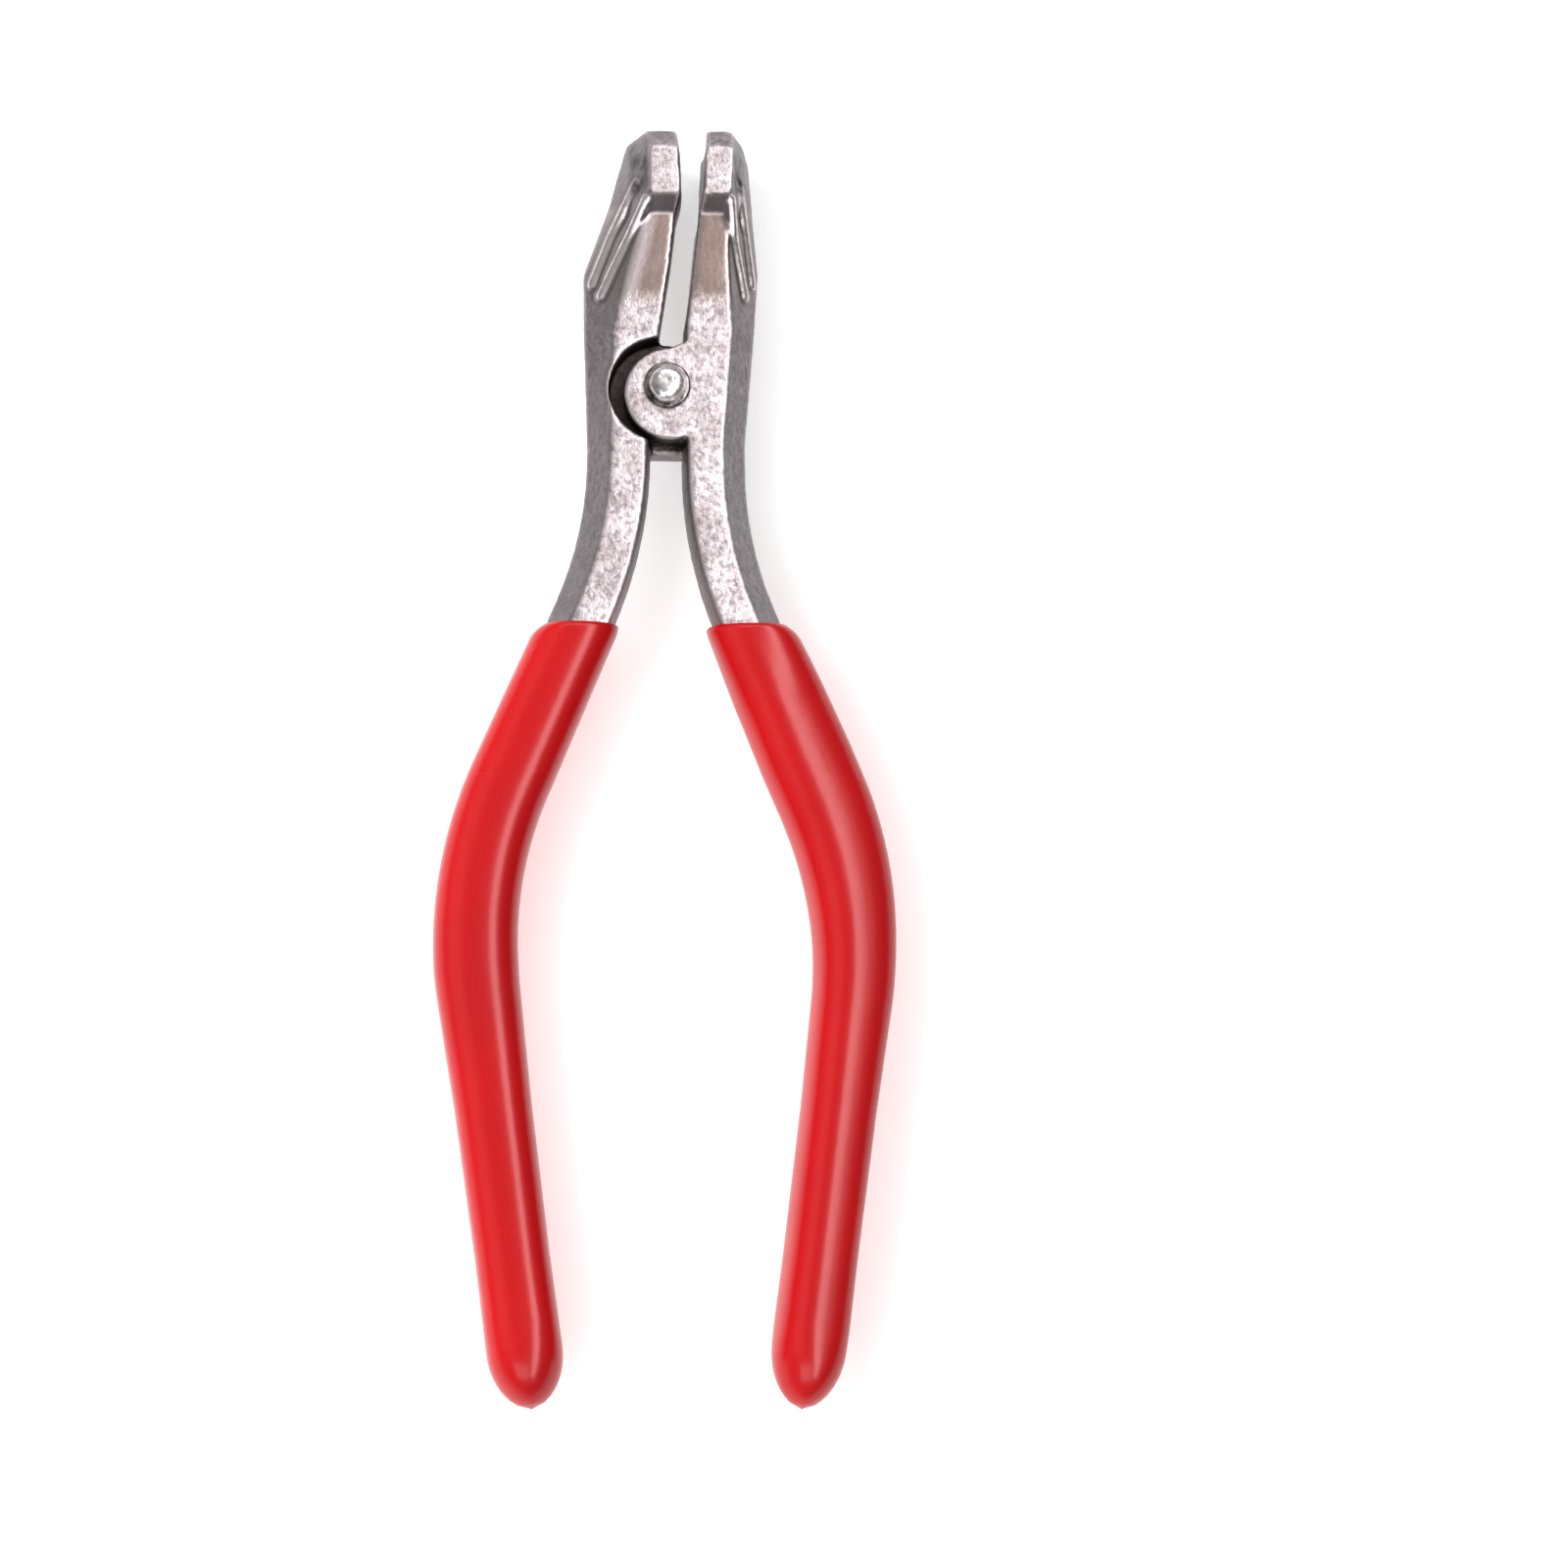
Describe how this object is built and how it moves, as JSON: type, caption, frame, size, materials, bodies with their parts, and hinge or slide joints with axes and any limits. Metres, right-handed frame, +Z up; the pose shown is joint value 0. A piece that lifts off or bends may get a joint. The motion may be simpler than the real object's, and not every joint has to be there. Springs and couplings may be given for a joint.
{
  "type": "running pliers",
  "caption": "Riveted steel glass pliers with two wide flared jaws, parallel tip blocks, bowed handles and dipped plastic sleeves.",
  "frame": {"origin": "on the resting plane, under the middle of the tool's bounding box", "axes": "+Y along the tool from the handle ends to the jaw tips, +X to the right lever, +Z up along the rivet towards its domed head"},
  "size_m": [0.0674, 0.187, 0.0216],
  "materials": {
    "lever_steel": "cast steel, shot-blasted and nickel plated, bright on the ground faces",
    "rivet_steel": "bright, hammered at the peened end",
    "grip_vinyl": "glossy red dipped vinyl"
  },
  "bodies": {
    "left_half": {"left_lever": "lever_steel", "rivet": "rivet_steel", "rivet_washer": "rivet_steel", "left_grip": "grip_vinyl"},
    "right_half": {"right_lever": "lever_steel", "right_grip": "grip_vinyl"}
  },
  "joints": [
    {"name": "pivot", "type": "hinge", "parent": "left_half", "child": "right_half", "pos_m": [0, 0.056, 0.0108], "axis": [0, 0, 1], "range_deg": [-11, 5.5]}
  ]
}
